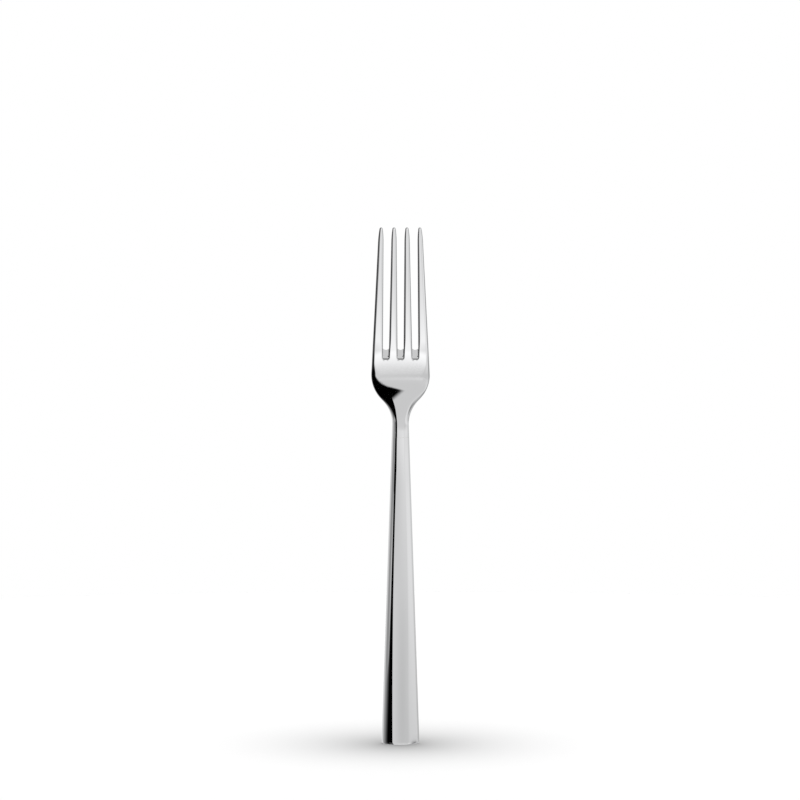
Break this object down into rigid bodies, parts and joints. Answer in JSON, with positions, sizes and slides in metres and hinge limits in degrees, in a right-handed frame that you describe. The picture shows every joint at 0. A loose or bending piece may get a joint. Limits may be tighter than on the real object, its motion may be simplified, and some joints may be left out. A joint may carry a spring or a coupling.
{
  "type": "dessert fork",
  "caption": "Upright polished steel dessert fork: slim tines on a dished head, a narrow neck and a thick hollow handle with a flat facet that tapers up from a squared butt.",
  "frame": {"origin": "middle of the flat end of the butt, on which the fork stands upright", "axes": "+Z from the butt up to the tips of the tines, +X to the right as seen from the front, +Y to the back; the hollow front of the head faces -Y"},
  "size_m": [0.0206, 0.0132, 0.1816],
  "materials": {
    "polished_steel": "mirror-polished stainless steel with very fine lengthwise hairlines",
    "silver_braze": "silver braze ground flush and polished with the steel",
    "bedding_compound": "dull set mineral compound"
  },
  "bodies": {
    "root": {"fork_head": "polished_steel", "handle_front_shell": "polished_steel", "handle_back_shell": "polished_steel", "seam_braze": "silver_braze", "neck_braze_ring": "silver_braze", "handle_filler": "bedding_compound"}
  },
  "joints": []
}
